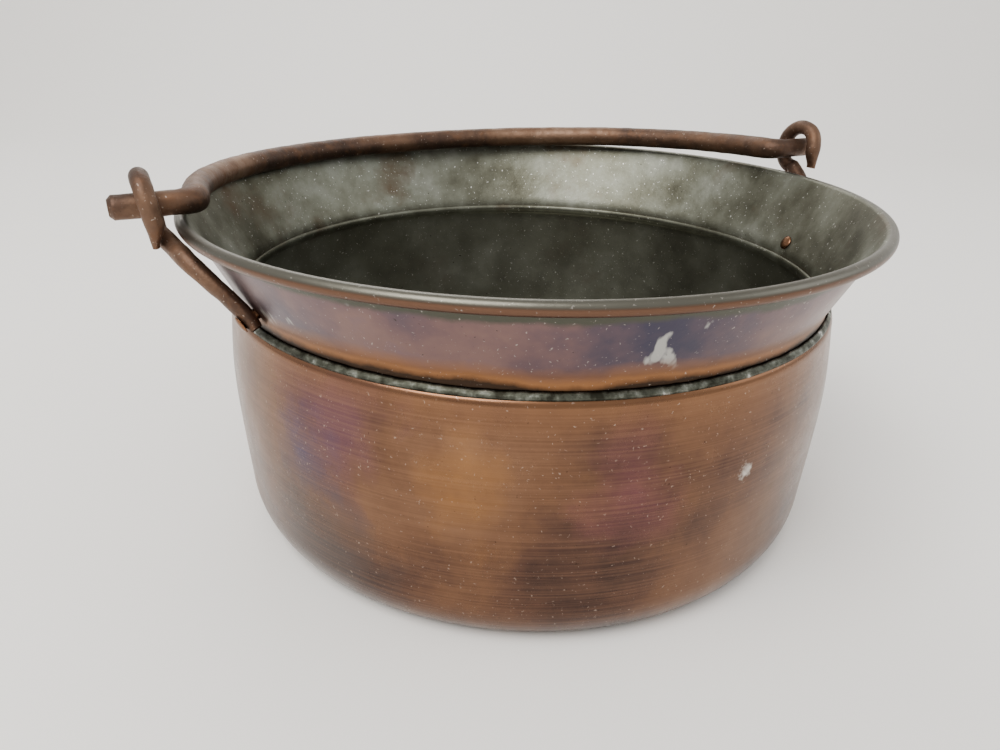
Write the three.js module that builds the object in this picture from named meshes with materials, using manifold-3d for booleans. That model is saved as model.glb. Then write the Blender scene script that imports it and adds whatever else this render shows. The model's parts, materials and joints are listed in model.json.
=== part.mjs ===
import * as THREE from 'three';
import Module from 'manifold-3d';
import { mergeVertices } from 'three/addons/utils/BufferGeometryUtils.js';

// Hand-made copper cauldron: a raised copper pan, a flared copper collar soldered into its neck,
// a rim rolled over an iron wire, two forged iron ears and a swinging iron bail.
// Millimetres, +Z up, origin at the middle of the flat base, hinge of the bail along X.

// Pan
const PAN_WALL = 1.4;
const BASE_FLAT_RADIUS = 122;
const PAN_FOOT_RADIUS = 136.5;
const PAN_FOOT_HEIGHT = 22;
const BELLY_RADIUS = 138.4;
const BELLY_HEIGHT = 70;
const SHOULDER_RADIUS = 136;
const SHOULDER_START = 101;
const SHOULDER_TOP = 105.5;
const PAN_LIP_RADIUS = 131.6;
const PAN_LIP_HEIGHT = 2.5;

// Collar
const COLLAR_SHEET = 1;
const COLLAR_CLEARANCE = 0.3;
const NECK_BAND_HEIGHT = 4.3;
const NECK_BLEND_LENGTH = 3.5;
const RIM_RADIUS = 150;
const RIM_HEIGHT = 141.3;

// Rolled rim
const WIRE_RADIUS = 1.3;
const WIRE_CLEARANCE = 0.3;
const ROLL_SLIT = 0.6;

// Soldered seam at the neck
const SOLDER_CLEARANCE = 0.3;
const SOLDER_RISE = 1.8;
const SOLDER_SPREAD = 2.4;

// Ears
const EYE_BORE_RADIUS = 6.5;
const EAR_ROD_RADIUS = 3.7;
const EAR_RIM_GAP = 4;
const EAR_LEAN = THREE.MathUtils.degToRad(9);
const LEFT_EAR = { side: -1, rise: 8.5, endLength: 13.5, passDrop: 5.9, passOverhang: 4.6 };
const RIGHT_EAR = { side: 1, rise: 14, endLength: 9, passDrop: 2.3, passOverhang: 7 };
const PASS_SWEEP = 9.5;
const LEG_SWEEP = 21;
const LEG_DROP = 10;
const LEG_OVERHANG = 1.2;
const FOOT_SWEEP = 32.5;
const FOOT_UP_FLARE = 4.6;
const FOOT_HALF_THICKNESS = 3.2;
const FOOT_TIP_THINNING = 0.4;
const FOOT_HALF_WIDTH = 4.8;
const FOOT_TIP_LENGTH = 4.5;
const FOOT_HEEL_LENGTH = 5;
const FOOT_SEAT_CLEARANCE = 0.3;
const EYE_END_HALF_THICKNESS = 1.5;
const EYE_END_TAPER = 9;

// Rivets through the ears' feet
const RIVET_RADIUS = 2.3;
const RIVET_HEAD_RADIUS = 3.6;
const RIVET_HEAD_HEIGHT = 1.2;
const RIVET_CLEARANCE = 0.4;

// Bail
const BAIL_ROD_RADIUS = 5.5;
const BAIL_HALF_SPAN = 143.4;
const BAIL_REACH = 140.3;
const BAIL_SQUARENESS = 2.08;
const BAIL_ELBOW_RADIUS = 7;
const TRUNNION_RADIUS = 4.8;
const LEFT_STUB_LENGTH = 10;
const RIGHT_STUB_LENGTH = 8;
const STUB_CHAMFER = 1.6;
const BAIL_REST_CLEARANCE = 0.3;

// Fineness of the surfaces
const LATHE_STEPS = 64;
const WIRE_SIDES = 6;
const BAR_SIDES = 10;
const CORNER_POINTS = 4;
const WALL_POINTS = 6;
const SHOULDER_POINTS = 3;
const BLEND_POINTS = 4;
const ROLL_POINTS = 9;
const RIVET_SIDES = 12;
const LEG_STEPS = 16;
const EYE_STEPS = 18;
const EYE_END_STEPS = 5;
const ELBOW_STEPS = 4;
const ARCH_STEPS = 40;
const REST_TRIALS = 40;
const MERGE_DISTANCE = 1e-4;

// Sizes that follow from those above
const BEAD_RADIUS = WIRE_RADIUS + WIRE_CLEARANCE + COLLAR_SHEET;
const ROLL_BORE_RADIUS = WIRE_RADIUS + WIRE_CLEARANCE;
const COLLAR_BORE_RADIUS = PAN_LIP_RADIUS + COLLAR_CLEARANCE;
const COLLAR_FOOT_RADIUS = COLLAR_BORE_RADIUS + COLLAR_SHEET;
const COLLAR_FOOT_HEIGHT = SHOULDER_TOP + COLLAR_CLEARANCE;
const EYE_RADIUS = EYE_BORE_RADIUS + EAR_ROD_RADIUS;
const EYE_REACH = RIM_RADIUS + BEAD_RADIUS + EAR_RIM_GAP + EAR_ROD_RADIUS;

const smooth = THREE.MathUtils.smoothstep;
const blend = THREE.MathUtils.lerp;

const wasm = await Module();
wasm.setup();

function toManifold(geometry) {
  const bare = geometry.clone();
  bare.deleteAttribute('normal');
  bare.deleteAttribute('uv');
  const merged = mergeVertices(bare, MERGE_DISTANCE);
  const vertProperties = new Float32Array(merged.attributes.position.array);
  const triVerts = new Uint32Array(merged.index.array);
  return new wasm.Manifold(new wasm.Mesh({ numProp: 3, vertProperties, triVerts }));
}

function toGeometry(manifold) {
  const { vertProperties, triVerts } = manifold.getMesh();
  const geometry = new THREE.BufferGeometry();
  geometry.setAttribute('position', new THREE.BufferAttribute(vertProperties, 3));
  geometry.setIndex(new THREE.BufferAttribute(triVerts, 1));
  geometry.computeVertexNormals();
  return geometry;
}

function named(name, geometry, material) {
  const mesh = new THREE.Mesh(geometry, material);
  mesh.name = name;
  return mesh;
}

// A profile of radius and height, turned about the upright axis
function turned(profile) {
  return new THREE.LatheGeometry(profile, LATHE_STEPS).rotateX(Math.PI / 2);
}

// The same sheet's other face: each point of a profile moved square to it, towards its left
function otherFace(profile, thickness) {
  return profile.map((point, i) => {
    const before = profile[Math.max(i - 1, 0)];
    const after = profile[Math.min(i + 1, profile.length - 1)];
    const along = after.clone().sub(before).normalize();
    return new THREE.Vector2(point.x - along.y * thickness, point.y + along.x * thickness);
  });
}

// Shoulder of the pan: it closes in from the wall to a level ring round the upright lip
const SHOULDER = new THREE.QuadraticBezierCurve(
  new THREE.Vector2(SHOULDER_RADIUS, SHOULDER_START),
  new THREE.Vector2(SHOULDER_RADIUS, SHOULDER_TOP),
  new THREE.Vector2(PAN_LIP_RADIUS, SHOULDER_TOP),
);

// Pan: one copper sheet raised to a flat base, a rounded bottom edge, a slightly swelling wall
// and a shoulder that closes in to a short upright lip
function panGeometry() {
  const bottomEdge = new THREE.EllipseCurve(
    BASE_FLAT_RADIUS,
    PAN_FOOT_HEIGHT,
    PAN_FOOT_RADIUS - BASE_FLAT_RADIUS,
    PAN_FOOT_HEIGHT,
    -Math.PI / 2,
    0,
  );
  const wall = new THREE.SplineCurve([
    new THREE.Vector2(PAN_FOOT_RADIUS, PAN_FOOT_HEIGHT),
    new THREE.Vector2(BELLY_RADIUS, BELLY_HEIGHT),
    new THREE.Vector2(SHOULDER_RADIUS, SHOULDER_START),
  ]);
  const lipTop = SHOULDER_TOP + PAN_LIP_HEIGHT;
  const outside = [
    ...bottomEdge.getPoints(CORNER_POINTS),
    ...wall.getPoints(WALL_POINTS).slice(1),
    ...SHOULDER.getPoints(SHOULDER_POINTS).slice(1),
    new THREE.Vector2(PAN_LIP_RADIUS, lipTop),
  ];
  const inside = otherFace(outside, PAN_WALL);
  inside[0].set(BASE_FLAT_RADIUS, PAN_WALL);
  inside[inside.length - 2].set(PAN_LIP_RADIUS - PAN_WALL, SHOULDER_TOP - PAN_WALL);
  inside[inside.length - 1].set(PAN_LIP_RADIUS - PAN_WALL, lipTop);
  const onAxis = new THREE.Vector2(0, 0);
  const onAxisInside = new THREE.Vector2(0, PAN_WALL);
  return turned([onAxis, ...outside, ...inside.reverse(), onAxisInside]);
}

// Flare of the collar: the straight line that leaves the neck band and lies against the rolled bead
const BEAD_CENTRE = new THREE.Vector2(RIM_RADIUS, RIM_HEIGHT);
const FLARE_FOOT = new THREE.Vector2(COLLAR_BORE_RADIUS, COLLAR_FOOT_HEIGHT + NECK_BAND_HEIGHT);
const FOOT_TO_BEAD = BEAD_CENTRE.clone().sub(FLARE_FOOT);
const FLARE_ANGLE =
  Math.atan2(FOOT_TO_BEAD.x, FOOT_TO_BEAD.y) - Math.asin(BEAD_RADIUS / FOOT_TO_BEAD.length());
const UP_FLARE = new THREE.Vector2(Math.sin(FLARE_ANGLE), Math.cos(FLARE_ANGLE));
const OUT_OF_FLARE = new THREE.Vector2(Math.cos(FLARE_ANGLE), -Math.sin(FLARE_ANGLE));

// Collar: a strip of copper with an upright band round the pan's lip, a short bend, the flare,
// and a top edge rolled outwards and down round the wire
function collarGeometry() {
  const bendStart = FLARE_FOOT.clone().setY(FLARE_FOOT.y - NECK_BLEND_LENGTH);
  const bendEnd = FLARE_FOOT.clone().addScaledVector(UP_FLARE, NECK_BLEND_LENGTH);
  const bend = new THREE.QuadraticBezierCurve(bendStart, FLARE_FOOT, bendEnd);
  const rollStart = Math.PI - FLARE_ANGLE;
  const rollTurn =
    2 * Math.PI - Math.acos(ROLL_BORE_RADIUS / BEAD_RADIUS) - ROLL_SLIT / BEAD_RADIUS;
  const roll = (radius) => new THREE.EllipseCurve(
    RIM_RADIUS,
    RIM_HEIGHT,
    radius,
    radius,
    rollStart,
    rollStart - rollTurn,
    true,
  ).getPoints(ROLL_POINTS);
  const innerBend = bend.getPoints(BLEND_POINTS);
  const outerBend = innerBend.map((point, i) => {
    const along = bend.getTangent(i / BLEND_POINTS);
    return new THREE.Vector2(point.x + along.y * COLLAR_SHEET, point.y - along.x * COLLAR_SHEET);
  });
  const foot = new THREE.Vector2(COLLAR_FOOT_RADIUS, COLLAR_FOOT_HEIGHT);
  const profile = [
    foot,
    ...outerBend,
    ...roll(ROLL_BORE_RADIUS),
    ...roll(BEAD_RADIUS).reverse(),
    ...innerBend.reverse(),
    new THREE.Vector2(COLLAR_BORE_RADIUS, COLLAR_FOOT_HEIGHT),
    foot,
  ];
  return turned(profile);
}

// Rim wire: one ring of round iron wire, closed inside the rolled rim
function rimWireGeometry() {
  const ring = new THREE.TorusGeometry(RIM_RADIUS, WIRE_RADIUS, WIRE_SIDES, LATHE_STEPS);
  return ring.translate(0, 0, RIM_HEIGHT);
}

// Neck solder: the ridge of tin solder that lies on the pan's shoulder, against the collar's foot
function neckSolderGeometry() {
  const inner = COLLAR_FOOT_RADIUS + SOLDER_CLEARANCE;
  const top = SHOULDER_TOP + SOLDER_RISE;
  const onShoulder = SHOULDER.getPoints(SHOULDER_POINTS * 2).reverse();
  const underside = otherFace(onShoulder, SOLDER_CLEARANCE).filter(
    (point) => point.x > inner && point.x < inner + SOLDER_SPREAD,
  );
  const innerFoot = new THREE.Vector2(inner, SHOULDER_TOP + SOLDER_CLEARANCE);
  const profile = [
    innerFoot,
    ...underside,
    new THREE.Vector2(inner + SOLDER_SPREAD * 0.6, blend(SHOULDER_TOP, top, 0.45)),
    new THREE.Vector2(inner + SOLDER_SPREAD * 0.2, blend(SHOULDER_TOP, top, 0.9)),
    new THREE.Vector2(inner, top),
    innerFoot,
  ];
  return turned(profile);
}

// Forged bar: a straight bar, hammered to the size that each station gives and bent to its place.
// A station is a point with half a thickness, measured the way the bar faces, and half a width.
function forgedBar(stations) {
  const outline = new THREE.EllipseCurve(0, 0, 1, 1).getPoints(BAR_SIDES).slice(0, BAR_SIDES);
  const steps = stations.length - 1;
  const bar = new THREE.ExtrudeGeometry(new THREE.Shape(outline), {
    depth: steps,
    steps,
    bevelEnabled: false,
  });
  const place = bar.attributes.position;
  for (let i = 0; i < place.count; i += 1) {
    const number = Math.round(place.getZ(i));
    const station = stations[number];
    const before = stations[Math.max(number - 1, 0)].at;
    const after = stations[Math.min(number + 1, steps)].at;
    const along = after.clone().sub(before).normalize();
    const face = station.facing.clone().addScaledVector(along, -along.dot(station.facing)).normalize();
    const broad = face.clone().cross(along);
    const point = station.at.clone();
    point.addScaledVector(broad, place.getX(i) * station.halfWidth);
    point.addScaledVector(face, place.getY(i) * station.halfThickness);
    place.setXYZ(i, point.x, point.y, point.z);
  }
  return bar;
}

// Where an ear's foot is riveted: a point up the flare, swept round towards the front
function rivetSeat(side) {
  const surface = FLARE_FOOT.clone();
  surface.addScaledVector(UP_FLARE, FOOT_UP_FLARE);
  surface.addScaledVector(OUT_OF_FLARE, COLLAR_SHEET);
  const round = FOOT_SWEEP / surface.x;
  const outward = new THREE.Vector3(side * Math.cos(round), -Math.sin(round), 0);
  const point = outward.clone().multiplyScalar(surface.x).setZ(surface.y);
  const normal = outward.clone().multiplyScalar(OUT_OF_FLARE.x).setZ(OUT_OF_FLARE.y);
  return { point, normal };
}

// Ear: one iron bar. Its flat foot is riveted to the collar, the leg leans out past the rim, and the
// rest is bent round into an eye whose thinned end comes down against the outside of the leg.
function earGeometry({ side, rise, endLength, passDrop, passOverhang }) {
  const seat = rivetSeat(side);
  const eyeCentre = new THREE.Vector3(side * EYE_REACH, 0, RIM_HEIGHT + rise);
  const eyeUp = new THREE.Vector3(side * Math.sin(EAR_LEAN), 0, Math.cos(EAR_LEAN));
  const eyeOut = new THREE.Vector3(side * Math.cos(EAR_LEAN), 0, -Math.sin(EAR_LEAN));
  const rear = new THREE.Vector3(0, 1, 0);
  const eyeFoot = eyeCentre.clone().addScaledVector(eyeUp, -EYE_RADIUS);
  const seatLift = FOOT_HALF_THICKNESS + FOOT_SEAT_CLEARANCE;
  const footCentre = seat.point.clone().addScaledVector(seat.normal, seatLift);
  const besideRim = (overhang, sweep, drop) => {
    const radius = RIM_RADIUS + overhang;
    const round = sweep / radius;
    const inwards = side * radius * Math.cos(round);
    return new THREE.Vector3(inwards, -radius * Math.sin(round), RIM_HEIGHT - drop);
  };
  const legMiddle = besideRim(LEG_OVERHANG, LEG_SWEEP, LEG_DROP);
  const legPass = besideRim(passOverhang, PASS_SWEEP, passDrop);
  const climb = legMiddle.clone().sub(footCentre);
  const footLine = climb.clone().addScaledVector(seat.normal, -climb.dot(seat.normal)).normalize();
  const leg = new THREE.CatmullRomCurve3([
    footCentre.clone().addScaledVector(footLine, -FOOT_TIP_LENGTH),
    footCentre,
    footCentre.clone().addScaledVector(footLine, FOOT_HEEL_LENGTH),
    legMiddle,
    legPass,
    eyeFoot,
  ]);
  const stations = [];
  for (let i = 0; i < LEG_STEPS; i += 1) {
    const t = i / LEG_STEPS;
    const tip = smooth(t, -0.12, 0.1);
    const spread = blend(FOOT_HALF_WIDTH, EAR_ROD_RADIUS, smooth(t, 0.15, 0.6));
    const thick = blend(FOOT_HALF_THICKNESS, EAR_ROD_RADIUS, smooth(t, 0.25, 0.6));
    stations.push({
      at: leg.getPointAt(t),
      facing: seat.normal.clone().lerp(eyeOut, smooth(t, 0.3, 0.95)),
      halfWidth: spread * tip,
      halfThickness: thick * blend(FOOT_TIP_THINNING, 1, tip),
    });
  }
  for (let i = 0; i <= EYE_STEPS; i += 1) {
    const angle = -Math.PI / 2 + (1.5 * Math.PI * i) / EYE_STEPS;
    const at = eyeCentre.clone();
    at.addScaledVector(rear, EYE_RADIUS * Math.cos(angle));
    at.addScaledVector(eyeUp, EYE_RADIUS * Math.sin(angle));
    stations.push({ at, facing: eyeOut, halfWidth: EAR_ROD_RADIUS, halfThickness: EAR_ROD_RADIUS });
  }
  for (let i = 1; i <= EYE_END_STEPS; i += 1) {
    const down = (endLength * i) / EYE_END_STEPS;
    const thinning = smooth(down, endLength - EYE_END_TAPER, endLength);
    const halfThickness = blend(EAR_ROD_RADIUS, EYE_END_HALF_THICKNESS, thinning);
    const at = eyeCentre.clone().addScaledVector(rear, -EYE_RADIUS).addScaledVector(eyeUp, -down);
    at.addScaledVector(eyeOut, EAR_ROD_RADIUS - halfThickness);
    const halfWidth = EAR_ROD_RADIUS * blend(1, 0.75, thinning);
    stations.push({ at, facing: eyeOut, halfWidth, halfThickness });
  }
  return toGeometry(toManifold(forgedBar(stations)).subtract(rivetHole(side)));
}

// Rivet: copper, with a low head on the ear's foot and a hammered end inside the collar
function rivetPlaced(side, profile) {
  const seat = rivetSeat(side);
  const turn = new THREE.Quaternion().setFromUnitVectors(new THREE.Vector3(0, 1, 0), seat.normal);
  const rivet = new THREE.LatheGeometry(profile, RIVET_SIDES);
  return rivet.applyQuaternion(turn).translate(seat.point.x, seat.point.y, seat.point.z);
}

function rivetHole(side) {
  const radius = RIVET_RADIUS + RIVET_CLEARANCE;
  const reach = FOOT_HALF_THICKNESS * 6;
  return toManifold(rivetPlaced(side, [
    new THREE.Vector2(0, -reach),
    new THREE.Vector2(radius, -reach),
    new THREE.Vector2(radius, reach),
    new THREE.Vector2(0, reach),
  ]));
}

function rivetGeometry(side) {
  const footTop = FOOT_SEAT_CLEARANCE + FOOT_HALF_THICKNESS * 2 + RIVET_CLEARANCE;
  const inside = -(COLLAR_SHEET + RIVET_CLEARANCE);
  return rivetPlaced(side, [
    new THREE.Vector2(0, inside - RIVET_HEAD_HEIGHT),
    new THREE.Vector2(RIVET_HEAD_RADIUS * 0.6, inside - RIVET_HEAD_HEIGHT),
    new THREE.Vector2(RIVET_HEAD_RADIUS, inside),
    new THREE.Vector2(RIVET_RADIUS, inside),
    new THREE.Vector2(RIVET_RADIUS, footTop),
    new THREE.Vector2(RIVET_HEAD_RADIUS, footTop),
    new THREE.Vector2(RIVET_HEAD_RADIUS * 0.6, footTop + RIVET_HEAD_HEIGHT),
    new THREE.Vector2(0, footTop + RIVET_HEAD_HEIGHT),
  ]);
}

// Bail hinge: the line through the middles of both eyes
const LEFT_EYE = new THREE.Vector3(-EYE_REACH, 0, RIM_HEIGHT + LEFT_EAR.rise);
const RIGHT_EYE = new THREE.Vector3(EYE_REACH, 0, RIM_HEIGHT + RIGHT_EAR.rise);
const HINGE_MIDDLE = LEFT_EYE.clone().add(RIGHT_EYE).multiplyScalar(0.5);
const HINGE_LINE = RIGHT_EYE.clone().sub(LEFT_EYE).normalize();

// A point of the arch, an ellipse that is a little squarer than a true one
function archPoint(angle) {
  const across = Math.cos(angle);
  const power = 2 / BAIL_SQUARENESS;
  const x = Math.sign(across) * Math.abs(across) ** power;
  return new THREE.Vector2(BAIL_HALF_SPAN * x, BAIL_REACH * Math.sin(angle) ** power);
}

// The bail's own frame when it leans back by an angle from the upright towards +Y
function bailFrame(lean) {
  const rearward = new THREE.Vector3(0, 1, 0);
  const upright = new THREE.Vector3().crossVectors(HINGE_LINE, rearward);
  const up = rearward.clone().multiplyScalar(Math.sin(lean)).addScaledVector(upright, Math.cos(lean));
  const square = new THREE.Vector3().crossVectors(HINGE_LINE, up);
  const frame = new THREE.Matrix4().makeBasis(HINGE_LINE, up, square);
  return frame.setPosition(HINGE_MIDDLE);
}

// Least daylight between the bail's rod and the rolled rim at a lean
function rimGap(lean) {
  const frame = bailFrame(lean);
  let least = Infinity;
  for (let i = 1; i < ARCH_STEPS; i += 1) {
    const arch = archPoint((Math.PI * i) / ARCH_STEPS);
    const point = new THREE.Vector3(arch.x, arch.y, 0).applyMatrix4(frame);
    const across = Math.hypot(point.x, point.y) - RIM_RADIUS;
    const gap = Math.hypot(across, point.z - RIM_HEIGHT) - BEAD_RADIUS - BAIL_ROD_RADIUS;
    least = Math.min(least, gap);
  }
  return least;
}

// The bail falls back until its rod lies on the rim
function restLean() {
  let clear = Math.PI / 4;
  let touching = Math.PI * 0.75;
  for (let i = 0; i < REST_TRIALS; i += 1) {
    const middle = (clear + touching) / 2;
    if (rimGap(middle) > BAIL_REST_CLEARANCE) {
      clear = middle;
    } else {
      touching = middle;
    }
  }
  return clear;
}

// Bail: one iron rod, bent to an arch, with its ends turned outwards as trunnions through the eyes
function bailGeometry() {
  const facing = new THREE.Vector3(0, 0, 1);
  const stations = [];
  const station = (x, y, radius) => stations.push({
    at: new THREE.Vector3(x, y, 0),
    facing,
    halfWidth: radius,
    halfThickness: radius,
  });
  const elbow = (side, outwards) => {
    for (let i = 0; i <= ELBOW_STEPS; i += 1) {
      const t = outwards ? i / ELBOW_STEPS : 1 - i / ELBOW_STEPS;
      const angle = (t * Math.PI) / 2;
      const x = BAIL_HALF_SPAN + BAIL_ELBOW_RADIUS * (1 - Math.cos(angle));
      const y = BAIL_ELBOW_RADIUS * (1 - Math.sin(angle));
      station(side * x, y, blend(BAIL_ROD_RADIUS, TRUNNION_RADIUS, t));
    }
  };
  const leftEnd = -(EYE_REACH + EAR_ROD_RADIUS + LEFT_STUB_LENGTH);
  const rightEnd = EYE_REACH + EAR_ROD_RADIUS + RIGHT_STUB_LENGTH;
  station(leftEnd, 0, TRUNNION_RADIUS - STUB_CHAMFER);
  station(leftEnd + STUB_CHAMFER, 0, TRUNNION_RADIUS);
  elbow(-1, false);
  const archStart = Math.asin(BAIL_ELBOW_RADIUS / BAIL_REACH);
  for (let i = 1; i < ARCH_STEPS; i += 1) {
    const arch = archPoint(Math.PI - blend(archStart, Math.PI - archStart, i / ARCH_STEPS));
    station(arch.x, arch.y, BAIL_ROD_RADIUS);
  }
  elbow(1, true);
  station(rightEnd - STUB_CHAMFER, 0, TRUNNION_RADIUS);
  station(rightEnd, 0, TRUNNION_RADIUS - STUB_CHAMFER);
  return forgedBar(stations);
}

// Finishes
const copper = () => new THREE.MeshStandardMaterial({ color: 0x8a5a44, roughness: 0.38, metalness: 1 });
const tin = () => new THREE.MeshStandardMaterial({ color: 0x77796c, roughness: 0.55, metalness: 1 });
const iron = () => new THREE.MeshStandardMaterial({ color: 0x4a352a, roughness: 0.7, metalness: 0.8 });

const cauldron = new THREE.Group();
const collar = toGeometry(
  toManifold(collarGeometry()).subtract(rivetHole(-1)).subtract(rivetHole(1)),
);
cauldron.add(named('pan', panGeometry(), copper()));
cauldron.add(named('collar', collar, copper()));
cauldron.add(named('rim_wire', rimWireGeometry(), iron()));
cauldron.add(named('neck_solder', neckSolderGeometry(), tin()));
cauldron.add(named('ear_left', earGeometry(LEFT_EAR), iron()));
cauldron.add(named('ear_right', earGeometry(RIGHT_EAR), iron()));
cauldron.add(named('ear_rivet_left', rivetGeometry(-1), copper()));
cauldron.add(named('ear_rivet_right', rivetGeometry(1), copper()));

const bail = named('bail', bailGeometry(), iron());
bailFrame(restLean()).decompose(bail.position, bail.quaternion, bail.scale);
cauldron.add(bail);

export default cauldron;
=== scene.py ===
from math import acos, asin, atan2, cos, hypot, pi, radians, sin

import bmesh
import bpy
from mathutils import Matrix, Vector, noise
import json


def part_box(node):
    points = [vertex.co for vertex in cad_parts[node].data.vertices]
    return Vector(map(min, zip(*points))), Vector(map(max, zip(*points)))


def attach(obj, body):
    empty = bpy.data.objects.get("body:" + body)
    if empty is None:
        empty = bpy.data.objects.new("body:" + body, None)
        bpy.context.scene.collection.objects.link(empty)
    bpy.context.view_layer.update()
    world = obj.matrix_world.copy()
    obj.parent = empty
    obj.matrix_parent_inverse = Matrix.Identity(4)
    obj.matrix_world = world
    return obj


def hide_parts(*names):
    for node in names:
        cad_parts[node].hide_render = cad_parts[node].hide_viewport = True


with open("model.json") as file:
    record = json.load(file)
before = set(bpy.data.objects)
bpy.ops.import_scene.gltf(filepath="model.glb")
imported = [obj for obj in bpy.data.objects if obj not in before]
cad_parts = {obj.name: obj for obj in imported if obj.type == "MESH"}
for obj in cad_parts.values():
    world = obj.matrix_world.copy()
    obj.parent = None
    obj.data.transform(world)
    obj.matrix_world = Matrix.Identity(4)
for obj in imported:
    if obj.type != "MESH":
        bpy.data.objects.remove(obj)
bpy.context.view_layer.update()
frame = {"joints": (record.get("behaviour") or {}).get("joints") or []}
MM = 0.001


# Camera
# It stands a little above the rim and to the left of the front, and looks down into the pot
# with a short lens. It is rolled by about a degree.
def place_camera():
    eye = Vector((-163.0, -306.6, 213.2)) * MM
    turned_right = radians(25.8458)
    tipped_down = radians(25.1812)
    rolled = radians(1.0966)
    looking = Matrix.Rotation(-turned_right, 4, "Z") @ Matrix.Rotation(pi / 2 - tipped_down, 4, "X")
    camera = bpy.data.objects.new("camera", bpy.data.cameras.new("camera"))
    camera.data.sensor_width = 36
    camera.data.lens = 27.03
    camera.data.clip_start = 0.01
    camera.matrix_world = Matrix.Translation(eye) @ looking @ Matrix.Rotation(rolled, 4, "Z")
    bpy.context.scene.collection.objects.link(camera)
    bpy.context.scene.camera = camera


place_camera()


# Studio
# A pale table top that curves up into a wall behind. A broad soft lamp hangs above and to the
# left, with weaker ones to the right and behind, and the metal mirrors pale walls all round.
def area_lamp(name, place, aim, width, power, tint):
    lamp = bpy.data.lights.new(name, "AREA")
    lamp.size = width
    lamp.energy = power
    lamp.color = tint
    holder = bpy.data.objects.new(name, lamp)
    place = Vector(place)
    holder.location = place
    holder.rotation_euler = (Vector(aim) - place).to_track_quat("-Z", "Y").to_euler()
    bpy.context.scene.collection.objects.link(holder)


def studio():
    world = bpy.data.worlds.new("studio")
    bpy.context.scene.world = world
    world.use_nodes = True
    surroundings = world.node_tree.nodes["Background"]
    surroundings.inputs["Color"].default_value = (0.96, 0.94, 0.91, 1)
    surroundings.inputs["Strength"].default_value = 0.98
    warm, cool, white = (1.0, 0.975, 0.94), (0.95, 0.97, 1.0), (1.0, 1.0, 1.0)
    area_lamp("key_lamp", (-0.9, -0.5, 1.5), aim=(0, 0, 0.1), width=1.1, power=34, tint=warm)
    area_lamp("fill_lamp", (1.3, -0.7, 0.9), aim=(0, 0, 0.08), width=0.9, power=4.5, tint=cool)
    area_lamp("back_lamp", (0.4, 1.5, 1.2), aim=(0, 0, 0.12), width=1.0, power=12, tint=white)


def table_top():
    mesh = bpy.data.meshes.new("table_top")
    bm = bmesh.new()
    near, far, half_width = -2.4, 1.1, 2.6
    sweep_radius, sweep_steps, wall_height = 0.5, 16, 2.2
    towards_camera = radians(-28)
    profile = [(near, 0), (far, 0)]
    for step in range(1, sweep_steps + 1):
        angle = pi / 2 * step / sweep_steps
        profile.append((far + sweep_radius * sin(angle), sweep_radius * (1 - cos(angle))))
    profile.append((far + sweep_radius, wall_height))
    facing = Matrix.Rotation(towards_camera, 3, "Z")
    rows = [
        [bm.verts.new(facing @ Vector((x, y, z))) for y, z in profile]
        for x in (-half_width, half_width)
    ]
    for i in range(len(profile) - 1):
        bm.faces.new((rows[0][i], rows[1][i], rows[1][i + 1], rows[0][i + 1])).smooth = True
    bm.to_mesh(mesh)
    bm.free()
    floor = bpy.data.objects.new("table_top", mesh)
    bpy.context.scene.collection.objects.link(floor)
    paper = bpy.data.materials.new("pale_paper")
    paper.use_nodes = True
    shader = paper.node_tree.nodes["Principled BSDF"]
    shader.inputs["Base Color"].default_value = (0.93, 0.915, 0.89, 1)
    shader.inputs["Roughness"].default_value = 0.85
    mesh.materials.append(paper)


studio()
table_top()


# Metal surfaces
# Old copper, tin and wrought iron share the same kinds of wear: cloudy stains, fine scratches
# that run round the pot, small pits and pale flecks. One node group makes these masks.
def add(tree, kind, values=None, **settings):
    made = tree.nodes.new("ShaderNode" + kind)
    for key, value in settings.items():
        setattr(made, key, value)
    for socket, value in (values or {}).items():
        if isinstance(value, bpy.types.NodeSocket):
            tree.links.new(value, made.inputs[socket])
        else:
            made.inputs[socket].default_value = value
    return made


def ramp(tree, mask, stops):
    made = add(tree, "ValToRGB", {"Fac": mask})
    elements = made.color_ramp.elements
    while len(elements) < len(stops):
        elements.new(0.5)
    for element, (place, colour) in zip(elements, stops):
        element.position = place
        element.color = (*colour, 1)
    return made.outputs["Color"]


def level(tree, mask, start, end):
    made = add(tree, "MapRange", {"Value": mask, "From Min": start, "From Max": end})
    return made.outputs["Result"]


def mix(tree, mask, first, second):
    made = add(tree, "Mix", data_type="RGBA")
    for index, value in ((0, mask), (6, first), (7, second)):
        if isinstance(value, bpy.types.NodeSocket):
            tree.links.new(value, made.inputs[index])
        elif index == 0:
            made.inputs[index].default_value = value
        else:
            made.inputs[index].default_value = (*value, 1)
    return made.outputs[2]


def maths(tree, operation, first, second):
    made = add(tree, "Math", {0: first, 1: second}, operation=operation)
    return made.outputs[0]


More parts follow.
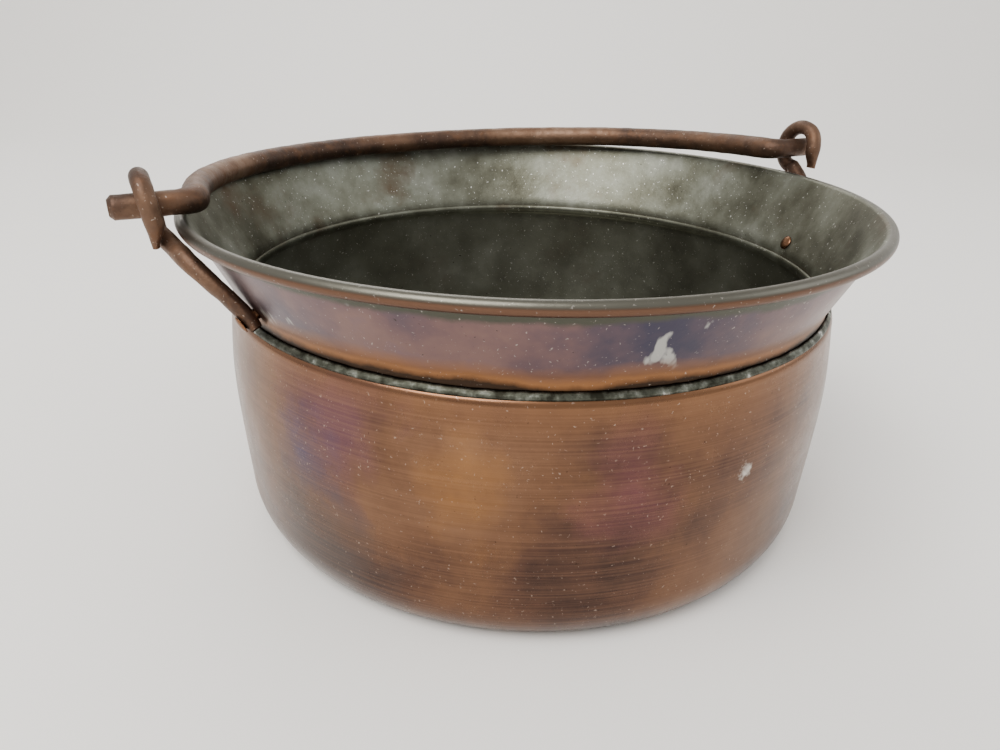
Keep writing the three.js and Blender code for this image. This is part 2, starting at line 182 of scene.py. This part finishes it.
def wear_group():
    tree = bpy.data.node_groups.new("metal_wear", "ShaderNodeTree")
    for name in ("Clouds", "Scratches", "Pits", "Flecks", "Grain"):
        tree.interface.new_socket(name, in_out="OUTPUT", socket_type="NodeSocketFloat")
    place = add(tree, "TexCoord").outputs["Object"]
    clouds = add(tree, "TexNoise", {"Vector": place, "Scale": 22, "Detail": 6, "Roughness": 0.6})
    drawn = add(tree, "Mapping", {"Vector": place, "Scale": (14, 14, 1400)})
    scratches = add(tree, "TexNoise", {"Vector": drawn.outputs[0], "Scale": 1, "Detail": 3})
    pits = add(tree, "TexNoise", {"Vector": place, "Scale": 520, "Detail": 3, "Roughness": 0.6})
    flecks = add(tree, "TexNoise", {"Vector": place, "Scale": 900, "Detail": 1, "Distortion": 0.6})
    grain = add(tree, "TexNoise", {"Vector": place, "Scale": 160, "Detail": 5, "Roughness": 0.65})
    result = tree.nodes.new("NodeGroupOutput")
    tree.links.new(clouds.outputs[0], result.inputs["Clouds"])
    tree.links.new(level(tree, scratches.outputs[0], 0.35, 0.7), result.inputs["Scratches"])
    tree.links.new(level(tree, pits.outputs[0], 0.70, 0.76), result.inputs["Pits"])
    tree.links.new(level(tree, flecks.outputs[0], 0.7, 0.78), result.inputs["Flecks"])
    tree.links.new(grain.outputs[0], result.inputs["Grain"])
    return tree


WEAR = wear_group()


def metal(name):
    material = bpy.data.materials.new(name)
    material.use_nodes = True
    tree = material.node_tree
    shader = tree.nodes["Principled BSDF"]
    shader.inputs["Metallic"].default_value = 1
    wear = tree.nodes.new("ShaderNodeGroup")
    wear.node_tree = WEAR
    return material, tree, shader, wear.outputs


def place_and_height(tree):
    """Where a point of the pot is, and how high it is above the base."""
    place = add(tree, "TexCoord").outputs["Object"]
    height = add(tree, "SeparateXYZ", {"Vector": place}).outputs["Z"]
    return place, height


def bumped(tree, shader, height, strength, distance):
    bump = add(tree, "Bump", {"Height": height, "Strength": strength, "Distance": distance})
    tree.links.new(bump.outputs["Normal"], shader.inputs["Normal"])


def weaker(tree, mask, share):
    """A mask turned down to a share of its strength."""
    return maths(tree, "MULTIPLY", mask, share)


def tinned():
    """Tin wiped over the copper's inside: mottled grey-green, browner where it has worn."""
    material, tree, shader, wear = metal("old_tinning")
    place, height = place_and_height(tree)
    blotch = add(tree, "TexNoise", {"Vector": place, "Scale": 34, "Detail": 7, "Roughness": 0.62})
    colour = ramp(tree, blotch.outputs[0], (
        (0.30, (0.062, 0.060, 0.042)),
        (0.45, (0.125, 0.125, 0.095)),
        (0.56, (0.18, 0.185, 0.148)),
        (0.74, (0.30, 0.31, 0.27)),
    ))
    colour = mix(tree, level(tree, wear["Clouds"], 0.55, 0.72), colour, (0.095, 0.066, 0.042))
    thicker_tin = mix(tree, 0.55, colour, (0.21, 0.21, 0.18))
    colour = mix(tree, level(tree, height, 0.1085, 0.098), colour, thicker_tin)
    colour = mix(tree, wear["Pits"], colour, (0.03, 0.026, 0.02))
    colour = mix(tree, wear["Flecks"], colour, (0.62, 0.62, 0.58))
    tree.links.new(colour, shader.inputs["Base Color"])
    rough = weaker(tree, level(tree, blotch.outputs[0], 0.2, 0.9), 0.25)
    tree.links.new(maths(tree, "ADD", rough, 0.36), shader.inputs["Roughness"])
    bumped(tree, shader, wear["Grain"], strength=0.35, distance=0.0006)
    return material


# Pan
# One copper sheet, raised by hammer to a flat base, a rounded bottom edge and a wall that swells
# a little, with a shoulder that closes to a short lip. Brown with age outside, tinned inside.
def shares(steps):
    """Even shares of a whole, from 0 to 1."""
    return [i / steps for i in range(steps + 1)]


def spline(points, steps):
    """A smooth curve through points, with steps stretches between each two."""
    made = []
    for i in range(len(points) - 1):
        before = points[max(i - 1, 0)]
        start, end = points[i], points[i + 1]
        after = points[min(i + 2, len(points) - 1)]
        for t in shares(steps)[:-1]:
            made.append(tuple(
                0.5 * (2 * b + (c - a) * t + (2 * a - 5 * b + 4 * c - d) * t**2
                       + (3 * b - a - 3 * c + d) * t**3)
                for a, b, c, d in zip(before, start, end, after)
            ))
    made.append(tuple(points[-1]))
    return made


def other_face(profile, thickness):
    """The sheet's other face: each point of a profile moved square to it, towards its left."""
    moved = []
    for i, (r, z) in enumerate(profile):
        before, after = profile[max(i - 1, 0)], profile[min(i + 1, len(profile) - 1)]
        dr, dz = after[0] - before[0], after[1] - before[1]
        length = hypot(dr, dz)
        moved.append((r - dz / length * thickness, z + dr / length * thickness))
    return moved


def turned(name, profile, closed, steps=192):
    """A profile of radius and height, spun once round the upright axis."""
    bm = bmesh.new()
    verts = [bm.verts.new((r * MM, 0, z * MM)) for r, z in profile]
    edges = [bm.edges.new(pair) for pair in zip(verts, verts[1:])]
    if closed:
        edges.append(bm.edges.new((verts[-1], verts[0])))
    bmesh.ops.spin(bm, geom=verts + edges, axis=(0, 0, 1), cent=(0, 0, 0), angle=2 * pi,
                   steps=steps, use_merge=True)
    bmesh.ops.remove_doubles(bm, verts=bm.verts, dist=1e-6)
    bmesh.ops.recalc_face_normals(bm, faces=bm.faces)
    for face in bm.faces:
        face.smooth = True
    mesh = bpy.data.meshes.new(name)
    bm.to_mesh(mesh)
    bm.free()
    piece = bpy.data.objects.new(name, mesh)
    bpy.context.scene.collection.objects.link(piece)
    return piece


def finish_inside_and_out(piece, outside, inside, is_inside):
    """One metal on a sheet's outside and another on the faces that is_inside picks."""
    piece.data.materials.append(outside)
    piece.data.materials.append(inside)
    for face in piece.data.polygons:
        outward = Vector((face.center.x, face.center.y, 0)).normalized()
        face.material_index = int(is_inside(face.center, face.normal, outward))


def spot(tree, place, centre, reach, ragged):
    """A stain of ragged outline round one point of the surface."""
    away = add(tree, "VectorMath", {0: place, 1: centre}, operation="DISTANCE").outputs["Value"]
    edge = maths(tree, "ADD", away, weaker(tree, ragged, reach * 5))
    return level(tree, edge, reach * 3.9, reach * 2.4)


def copper_body():
    """Brown copper, darker and lighter in patches, with heat stains and one pale drip."""
    material, tree, shader, wear = metal("brown_copper")
    place, height = place_and_height(tree)
    patches = add(tree, "TexNoise", {"Vector": place, "Scale": 13, "Detail": 6, "Roughness": 0.62})
    colour = ramp(tree, patches.outputs[0], (
        (0.32, (0.038, 0.024, 0.022)),
        (0.43, (0.078, 0.042, 0.031)),
        (0.53, (0.128, 0.066, 0.039)),
        (0.64, (0.170, 0.090, 0.052)),
        (0.76, (0.195, 0.128, 0.096)),
    ))
    stains = (
        # middle, reach, strength and colour: mauve, blue, orange, violet and sooty
        ((-0.116, -0.075, 0.083), 0.022, 0.6, (0.10, 0.045, 0.075)),
        ((-0.125, -0.059, 0.068), 0.013, 0.6, (0.045, 0.05, 0.11)),
        ((-0.084, -0.110, 0.066), 0.016, 0.6, (0.30, 0.14, 0.048)),
        ((-0.032, -0.135, 0.070), 0.018, 0.5, (0.17, 0.06, 0.075)),
        ((-0.125, -0.056, 0.020), 0.030, 0.85, (0.075, 0.062, 0.058)),
    )
    for middle, reach, strength, tint in stains:
        stain = spot(tree, place, middle, reach, wear["Clouds"])
        colour = mix(tree, weaker(tree, stain, strength), colour, tint)
    near_neck = level(tree, height, 0.090, 0.104)
    colour = mix(tree, weaker(tree, near_neck, 0.5), colour, (0.22, 0.105, 0.05))
    colour = mix(tree, weaker(tree, wear["Scratches"], 0.16), colour, (0.36, 0.19, 0.11))
    colour = mix(tree, weaker(tree, wear["Pits"], 0.75), colour, (0.03, 0.018, 0.012))
    colour = mix(tree, weaker(tree, wear["Flecks"], 0.4), colour, (0.52, 0.40, 0.32))
    drip = spot(tree, place, (0.018, -0.137, 0.067), 0.0028, wear["Grain"])
    colour = mix(tree, drip, colour, (0.70, 0.66, 0.60))
    tree.links.new(colour, shader.inputs["Base Color"])
    rough = weaker(tree, wear["Clouds"], 0.36)
    rough = maths(tree, "ADD", rough, weaker(tree, wear["Grain"], 0.14))
    tree.links.new(maths(tree, "ADD", rough, 0.04), shader.inputs["Roughness"])
    relief = maths(tree, "ADD", wear["Grain"], weaker(tree, wear["Scratches"], 0.25))
    bumped(tree, shader, relief, strength=0.12, distance=0.0004)
    return material


TINNING = tinned()
BROWN_COPPER = copper_body()
PAN_LIP = 131.6


def make_pan():
    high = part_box("pan")[1]
    belly, belly_height = high[0] / MM, 70
    lip_top = high[2] / MM
    base_radius = belly - 16.4
    foot_radius, foot_height = belly - 1.9, 22
    shoulder_radius, shoulder_start, shoulder_top = 136, 101, lip_top - 2.5
    wall_thickness, bevel_width, bevel_height = 1.4, 0.35, 0.3
    edge = [
        (base_radius + (foot_radius - base_radius) * sin(pi / 2 * t),
         foot_height * (1 - cos(pi / 2 * t)))
        for t in shares(12)
    ]
    wall = spline([
        (foot_radius, foot_height), (belly, belly_height), (shoulder_radius, shoulder_start)
    ], steps=12)
    shoulder = [
        (shoulder_radius + (PAN_LIP - shoulder_radius) * t * t,
         shoulder_start + (shoulder_top - shoulder_start) * (1 - (1 - t) ** 2))
        for t in shares(10)
    ]
    outside = edge + wall[1:] + shoulder[1:] + [(PAN_LIP, lip_top - bevel_height)]
    inside = other_face(outside, wall_thickness)
    lip_inside = PAN_LIP - wall_thickness
    inside[0] = (base_radius, wall_thickness)
    inside[-2] = (lip_inside, shoulder_top - wall_thickness)
    inside[-1] = (lip_inside, lip_top - bevel_height)
    rings = shares(8)[:-1]
    under = [(base_radius * t, 0) for t in rings]
    floor = [(base_radius * t, wall_thickness) for t in rings[::-1]]
    lip_edge = [(PAN_LIP - bevel_width, lip_top), (lip_inside + bevel_width, lip_top)]
    profile = under + outside + lip_edge + inside[::-1] + floor
    pan = turned("pan_copper", profile, closed=False)
    # Tin covers the faces that look inwards and the floor.
    finish_inside_and_out(pan, BROWN_COPPER, TINNING, lambda centre, normal, outward: (
        normal.dot(outward) < -0.3
        or (normal.z > 0.6 and hypot(centre.x, centre.y) < (PAN_LIP - 0.2) * MM)
    ))
    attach(pan, "pot")
    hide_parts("pan")


make_pan()


# Collar
# A flared strip of thinner copper. Its foot is soldered round the pan's lip, and its top edge is
# rolled outwards over a wire. Soldering has left heat tints and runs of tin on it.
RIM_RADIUS, RIM_HEIGHT = 150, 141.3
SHEET, ROLL_BORE = 1.0, 1.6
BEAD = SHEET + ROLL_BORE
SEAM_GAP = 0.3
COLLAR_FOOT = 105.8
FLARE_FOOT = (PAN_LIP + SEAM_GAP, COLLAR_FOOT + 4.3)
# The flare runs straight from its foot to where it touches the bead.
TO_BEAD = (RIM_RADIUS - FLARE_FOOT[0], RIM_HEIGHT - FLARE_FOOT[1])
FLARE = atan2(*TO_BEAD) - asin(BEAD / hypot(*TO_BEAD))


def copper_collar():
    """Lilac and blue heat tints, runs of tin, bands of tin and brown along both edges, and a
    painted shadow in the groove along the foot.
    """
    material, tree, shader, wear = metal("heat_tinted_copper")
    place, height = place_and_height(tree)
    cloud = add(tree, "TexNoise", {"Vector": place, "Scale": 17, "Detail": 5, "Roughness": 0.6})
    colour = ramp(tree, cloud.outputs[0], (
        (0.34, (0.055, 0.050, 0.075)),
        (0.44, (0.10, 0.073, 0.088)),
        (0.52, (0.145, 0.092, 0.095)),
        (0.60, (0.185, 0.115, 0.105)),
        (0.72, (0.13, 0.095, 0.13)),
    ))
    streaks = add(tree, "Mapping", {"Vector": place, "Scale": (60, 60, 14)})
    runs = add(tree, "TexNoise", {"Vector": streaks.outputs[0], "Scale": 1, "Detail": 4})
    tin_run = level(tree, runs.outputs[0], 0.66, 0.69)
    colour = mix(tree, weaker(tree, tin_run, 0.75), colour, (0.50, 0.50, 0.47))
    wavy = maths(tree, "ADD", height, weaker(tree, wear["Clouds"], 0.012))
    tin_band = level(tree, wavy, 0.1395, 0.1415)
    colour = mix(tree, tin_band, colour, (0.07, 0.07, 0.055))
    foot_band = level(tree, wavy, 0.1235, 0.1165)
    colour = mix(tree, foot_band, colour, (0.25, 0.115, 0.05))
    # Painted shadow: a near-black band along the collar's foot, where the flare's lower lip shades
    # the groove above the neck solder.
    painted_groove_shadow = level(tree, wavy, 0.116, 0.1135)
    colour = mix(tree, painted_groove_shadow, colour, (0.035, 0.022, 0.015))
    bead = level(tree, height, 0.1382, 0.1388)
    colour = mix(tree, bead, colour, (0.12, 0.065, 0.042))
    bead_top = level(tree, height, 0.1416, 0.1424)
    colour = mix(tree, bead_top, colour, (0.12, 0.115, 0.095))
    colour = mix(tree, wear["Pits"], colour, (0.04, 0.03, 0.025))
    colour = mix(tree, weaker(tree, wear["Flecks"], 0.4), colour, (0.6, 0.55, 0.5))
    tree.links.new(colour, shader.inputs["Base Color"])
    rough = maths(tree, "ADD", weaker(tree, wear["Clouds"], 0.3), 0.2)
    tree.links.new(rough, shader.inputs["Roughness"])
    bumped(tree, shader, wear["Grain"], strength=0.25, distance=0.0004)
    return material


def make_collar():
    foot_radius, foot_height = FLARE_FOOT
    blend, slit = 3.5, 0.6
    start = (foot_radius, foot_height - blend)
    end = (foot_radius + sin(FLARE) * blend, foot_height + cos(FLARE) * blend)
    bend = [
        tuple((1 - t) ** 2 * a + 2 * t * (1 - t) * b + t * t * c
              for a, b, c in zip(start, FLARE_FOOT, end))
        for t in shares(10)
    ]
    roll_start = pi - FLARE
    roll_turn = 2 * pi - acos(ROLL_BORE / BEAD) - slit / BEAD
    around = [roll_start - roll_turn * t for t in shares(28)]
    bore = [(RIM_RADIUS + ROLL_BORE * cos(a), RIM_HEIGHT + ROLL_BORE * sin(a)) for a in around]
    bead = [(RIM_RADIUS + BEAD * cos(a), RIM_HEIGHT + BEAD * sin(a)) for a in around]
    flare = [
        tuple(p + (q - p) * t for p, q in zip(bend[-1], bead[0])) for t in shares(8)[1:-1]
    ]
    inner = [(foot_radius, COLLAR_FOOT)] + bend + flare
    outer = other_face(inner, -SHEET)
    outer[0] = (foot_radius + SHEET, COLLAR_FOOT)
    profile = outer + bore + bead[::-1] + inner[::-1]
    collar = turned("collar_copper", profile, closed=True)
    # Tin covers the faces that look inwards, up to the bead.
    finish_inside_and_out(collar, copper_collar(), TINNING, lambda centre, normal, outward: (
        normal.dot(outward) < 0.05 and hypot(centre.x, centre.y) < (RIM_RADIUS - 1) * MM
    ))
    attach(collar, "pot")
    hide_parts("collar")


make_collar()


# Rim wire
# A ring of round iron wire that stiffens the rim. The collar's edge is rolled round it, so only
# a line of it shows at the slit under the bead. It has the same rusty iron as ears and bail.
def dark_iron():
    """Wrought iron, near black, with rust, pale flecks and a rough forged surface."""
    material, tree, shader, wear = metal("forged_iron")
    shader.inputs["Metallic"].default_value = 0.75
    colour = ramp(tree, wear["Clouds"], (
        (0.30, (0.022, 0.015, 0.012)),
        (0.48, (0.075, 0.042, 0.028)),
        (0.60, (0.15, 0.085, 0.052)),
        (0.75, (0.24, 0.15, 0.10)),
    ))
    colour = mix(tree, level(tree, wear["Grain"], 0.5, 0.72), colour, (0.13, 0.065, 0.035))
    colour = mix(tree, weaker(tree, wear["Flecks"], 0.6), colour, (0.42, 0.34, 0.28))
    colour = mix(tree, wear["Pits"], colour, (0.012, 0.009, 0.008))
    tree.links.new(colour, shader.inputs["Base Color"])
    rough = maths(tree, "ADD", weaker(tree, wear["Grain"], 0.35), 0.34)
    tree.links.new(rough, shader.inputs["Roughness"])
    bumped(tree, shader, wear["Grain"], strength=0.6, distance=0.0009)
    return material


IRON = dark_iron()


def make_rim_wire():
    wire_gap = 0.3
    radius = ROLL_BORE - wire_gap
    ring = [
        (RIM_RADIUS + radius * cos(2 * pi * t), RIM_HEIGHT + radius * sin(2 * pi * t))
        for t in shares(16)[:-1]
    ]
    wire = turned("rim_wire_iron", ring, closed=True, steps=128)
    wire.data.materials.append(IRON)
    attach(wire, "pot")
    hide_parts("rim_wire")


make_rim_wire()


# Neck solder
# A ridge of tin solder, wiped on while hot, that fills the corner between the pan's shoulder
# and the collar's foot. It is uneven in height and dull grey-green with bright scraped spots.
def dull_solder():
    """Tin solder, dull grey-green in the hollows and bright where it stands proud."""
    material, tree, shader, wear = metal("dull_solder")
    colour = ramp(tree, wear["Grain"], (
        (0.38, (0.03, 0.03, 0.022)),
        (0.52, (0.09, 0.095, 0.075)),
        (0.62, (0.20, 0.21, 0.18)),
        (0.69, (0.70, 0.70, 0.66)),
    ))
    colour = mix(tree, wear["Pits"], colour, (0.03, 0.025, 0.02))
    tree.links.new(colour, shader.inputs["Base Color"])
    shader.inputs["Roughness"].default_value = 0.5
    bumped(tree, shader, wear["Grain"], strength=0.6, distance=0.0008)
    return material


SOLDER = dull_solder()


def make_neck_solder():
    low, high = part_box("neck_solder")
    outer, foot, top = high[0] / MM, low[2] / MM, high[2] / MM
    inner = FLARE_FOOT[0] + SHEET + SEAM_GAP
    underside = [
        (inner, COLLAR_FOOT), (inner + 0.9, COLLAR_FOOT - 0.25), (inner + 1.5, COLLAR_FOOT - 0.6),
        (outer - 0.05, foot),
    ]
    ridge = [
        (outer - 0.1, foot + 0.8), (inner + 1.4, foot + 1.75), (inner + 0.7, foot + 2.35),
        (inner + 0.2, top),
    ]
    solder = turned("neck_solder_tin", underside + ridge, closed=True, steps=360)
    deepest_dip, lumps_per_metre = 0.49 * MM, 260
    lowest_dipped, first_dipped = (foot + 1.2) * MM, (inner + 0.1) * MM
    for vert in solder.data.vertices:
        radius = hypot(vert.co.x, vert.co.y)
        if vert.co.z > lowest_dipped and radius > first_dipped:
            vert.co.z -= deepest_dip * (1 + noise.noise(vert.co * lumps_per_metre)) / 2
    solder.data.materials.append(SOLDER)
    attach(solder, "pot")
    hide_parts("neck_solder")


make_neck_solder()


# Ears
# Each ear is one iron bar. Its flattened foot is riveted to the collar, the leg leans out past
# the rim, and the rest is bent into an eye whose thinned end is laid against the leg's outside.
def smooth(value, start, end):
    """0 before start, 1 after end and an even passage between."""
    t = min(max((value - start) / (end - start), 0), 1)
    return t * t * (3 - 2 * t)


def forged_bar(name, stations, sides, dents):
    """A bar through stations, each a point, the way the bar faces there, half its width and
    half its thickness. Hammering has left shallow dents in it."""
    bm = bmesh.new()
    rings = []
    last = len(stations) - 1
    for i, (at, facing, half_width, half_thickness) in enumerate(stations):
        along = (stations[min(i + 1, last)][0] - stations[max(i - 1, 0)][0]).normalized()
        face = (facing - along * along.dot(facing)).normalized()
        broad = face.cross(along)
        ring = []
        for side in range(sides):
            a = 2 * pi * side / sides
            out = broad * (cos(a) * half_width) + face * (sin(a) * half_thickness)
            point = at + out
            broad_dent = noise.noise(point * 0.16) * 0.6
            small_dent = noise.noise(point * 0.45) * 0.25
            point -= out.normalized() * dents * (broad_dent + small_dent + 0.4)
            ring.append(bm.verts.new(point * MM))
        rings.append(ring)
    for first, second in zip(rings, rings[1:]):
        for side in range(sides):
            after = (side + 1) % sides
            bm.faces.new((first[side], first[after], second[after], second[side]))
    for ring in (rings[0], rings[-1]):
        cap = bm.faces.new(ring)
        bmesh.ops.inset_individual(bm, faces=[cap], thickness=0.5 * MM)
    bmesh.ops.recalc_face_normals(bm, faces=bm.faces)
    for face in bm.faces:
        face.smooth = True
    mesh = bpy.data.meshes.new(name)
    bm.to_mesh(mesh)
    bm.free()
    piece = bpy.data.objects.new(name, mesh)
    bpy.context.scene.collection.objects.link(piece)
    return piece


EAR_ROD, EYE_BORE = 3.7, 6.5
EYE_RADIUS = EYE_BORE + EAR_ROD
EAR_TO_BEAD = 4
EYE_REACH = RIM_RADIUS + BEAD + EAR_TO_BEAD + EAR_ROD
LEFT_RISE, RIGHT_RISE = 8.5, 14
EAR_LEAN = radians(9)
FOOT_THICKNESS, FOOT_WIDTH = 6.4, 9.6
FOOT_GAP = 0.3
REAR = Vector((0, 1, 0))


def rivet_seat(side):
    """The point of the collar that an ear is riveted to, and the way the collar faces there."""
    up_flare, foot_sweep = 4.6, 32.5
    reach = FLARE_FOOT[0] + sin(FLARE) * up_flare + cos(FLARE) * SHEET
    height = FLARE_FOOT[1] + cos(FLARE) * up_flare - sin(FLARE) * SHEET
    swept = foot_sweep / reach
    outward = Vector((side * cos(swept), -sin(swept), 0))
    point = outward * reach + Vector((0, 0, height))
    normal = outward * cos(FLARE) - Vector((0, 0, sin(FLARE)))
    return point, normal


def evenly(points, count):
    """Points at even distances along the smooth curve through the given ones."""
    fine = [Vector(p) for p in spline([tuple(p) for p in points], steps=40)]
    travelled = [0]
    for a, b in zip(fine, fine[1:]):
        travelled.append(travelled[-1] + (b - a).length)
    made, j = [], 0
    for i in range(count):
        goal = travelled[-1] * i / count
        while travelled[j + 1] < goal:
            j += 1
        share = (goal - travelled[j]) / (travelled[j + 1] - travelled[j])
        made.append(fine[j].lerp(fine[j + 1], share))
    return made


def beside_rim(side, overhang, sweep, drop):
    """A point outside the rim: so far out from it, round towards the front, and below it."""
    radius = RIM_RADIUS + overhang
    swept = sweep / radius
    return Vector((side * radius * cos(swept), -radius * sin(swept), RIM_HEIGHT - drop))


def make_ear(name, side, rise, end_length, pass_drop, pass_overhang):
    seat, normal = rivet_seat(side)
    centre = Vector((side * EYE_REACH, 0, RIM_HEIGHT + rise))
    eye_up = Vector((side * sin(EAR_LEAN), 0, cos(EAR_LEAN)))
    eye_out = Vector((side * cos(EAR_LEAN), 0, -sin(EAR_LEAN)))
    eye_foot = centre - eye_up * EYE_RADIUS
    foot = seat + normal * (FOOT_THICKNESS / 2 + FOOT_GAP)
    middle = beside_rim(side, overhang=1.2, sweep=21, drop=10)
    passing = beside_rim(side, overhang=pass_overhang, sweep=9.5, drop=pass_drop)
    climb = middle - foot
    line = (climb - normal * climb.dot(normal)).normalized()
    tip_length, heel_length = 4.5, 5
    route = [foot - line * tip_length, foot, foot + line * heel_length, middle, passing, eye_foot]
    points = evenly(route, count=56)
    stations = []
    for i, at in enumerate(points):
        t = i / len(points)
        tip = smooth(t, -0.12, 0.1)
        width = FOOT_WIDTH / 2 + (EAR_ROD - FOOT_WIDTH / 2) * smooth(t, 0.15, 0.6)
        thick = FOOT_THICKNESS / 2 + (EAR_ROD - FOOT_THICKNESS / 2) * smooth(t, 0.25, 0.6)
        facing = normal.lerp(eye_out, smooth(t, 0.3, 0.95))
        stations.append((at, facing, width * tip, thick * (0.4 + 0.6 * tip)))
    for t in shares(64):
        a = -pi / 2 + 1.5 * pi * t
        at = centre + REAR * (EYE_RADIUS * cos(a)) + eye_up * (EYE_RADIUS * sin(a))
        stations.append((at, eye_out, EAR_ROD, EAR_ROD))
    end_thickness, taper_length = 3, 9
    for t in shares(18)[1:]:
        down = end_length * t
        thinning = smooth(down, end_length - taper_length, end_length)
        thick = EAR_ROD + (end_thickness / 2 - EAR_ROD) * thinning
        at = centre - REAR * EYE_RADIUS - eye_up * down + eye_out * (EAR_ROD - thick)
        stations.append((at, eye_out, EAR_ROD * (1 - 0.25 * thinning), thick))
    ear = forged_bar(name + "_iron", stations, sides=20, dents=0.35)
    ear.data.materials.append(IRON)
    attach(ear, "pot")
    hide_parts(name)


make_ear("ear_left", -1, LEFT_RISE, end_length=13.5, pass_drop=5.9, pass_overhang=4.6)
make_ear("ear_right", 1, RIGHT_RISE, end_length=9, pass_drop=2.3, pass_overhang=7)


# Ear rivets
# A copper rivet goes through each foot and the collar. It is hammered to a low dome on both
# sides, and is as brown as the pan.
def make_rivet(name, side):
    shank, head, head_height, head_gap = 2.2, 3.5, 1.2, 0.1
    foot_top = FOOT_GAP + FOOT_THICKNESS + head_gap
    inside = -(SHEET + FOOT_GAP)
    dome = [(head * cos(pi / 2 * t), head_height * sin(pi / 2 * t)) for t in shares(8)]
    outer = [(r, foot_top + h) for r, h in dome]
    inner = [(r, inside - h) for r, h in dome[::-1]]
    profile = inner + [(shank, inside), (shank, foot_top)] + outer
    rivet = turned(name + "_copper", profile, closed=False, steps=48)
    seat, normal = rivet_seat(side)
    turn = Vector((0, 0, 1)).rotation_difference(normal).to_matrix().to_4x4()
    rivet.data.transform(Matrix.Translation(seat * MM) @ turn)
    rivet.data.materials.append(BROWN_COPPER)
    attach(rivet, "pot")
    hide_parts(name)


make_rivet("ear_rivet_left", -1)
make_rivet("ear_rivet_right", 1)


# Bail
# One iron rod, forged round but never quite even, bent to an arch a little squarer than half an
# ellipse. Its ends turn outwards and go through the eyes as trunnions.
HALF_SPAN, REACH, SQUARENESS = 143.4, 140.3, 2.08
BAIL_ROD, TRUNNION, ELBOW = 5.5, 4.8, 7
STUB_CHAMFER = 1.6


def arch_point(angle):
    """The rod's middle on the arch, out from its centre line and along its plane."""
    across = cos(angle)
    power = 2 / SQUARENESS
    x = abs(across) ** power * (1 if across > 0 else -1)
    return HALF_SPAN * x, REACH * sin(angle) ** power


def trunnion_and_elbow(stub):
    """From the end of a trunnion to the arch: how far out, how far along and the radius."""
    end = EYE_REACH + EAR_ROD + stub
    elbow_out = HALF_SPAN + ELBOW
    made = [
        (end - STUB_CHAMFER * share, 0, TRUNNION - STUB_CHAMFER * (1 - share))
        for share in (0, 0.3, 0.6, 0.9, 1)
    ]
    shoulder = end - STUB_CHAMFER
    for t in shares(16)[1:-1]:
        made.append((shoulder + (elbow_out - shoulder) * t, 0, TRUNNION))
    for t in shares(12)[::-1]:
        a = t * pi / 2
        out, along = HALF_SPAN + ELBOW * (1 - cos(a)), ELBOW * (1 - sin(a))
        made.append((out, along, BAIL_ROD + (TRUNNION - BAIL_ROD) * t))
    return made


def make_bail():
    joint = frame["joints"][0]
    hinge = Vector((0, 0, RIM_HEIGHT + (LEFT_RISE + RIGHT_RISE) / 2))
    line = Vector((EYE_REACH * 2, 0, RIGHT_RISE - LEFT_RISE)).normalized()
    below_level = 2.244
    lean = radians(90 + below_level)
    up = REAR * sin(lean) + line.cross(REAR) * cos(lean)
    square = line.cross(up)
    arch_start = asin(ELBOW / REACH)
    flat = [(-x, y, radius) for x, y, radius in trunnion_and_elbow(stub=10)]
    for t in shares(220)[1:-1]:
        x, y = arch_point(pi - (arch_start + (pi - 2 * arch_start) * t))
        flat.append((x, y, BAIL_ROD))
    flat += trunnion_and_elbow(stub=8)[::-1]
    stations = [
        (hinge + line * x + up * y, square, radius, radius) for x, y, radius in flat
    ]
    bail = forged_bar("bail_iron", stations, sides=24, dents=0.3)
    bail.data.materials.append(IRON)
    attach(bail, joint["child"])
    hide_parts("bail")


make_bail()
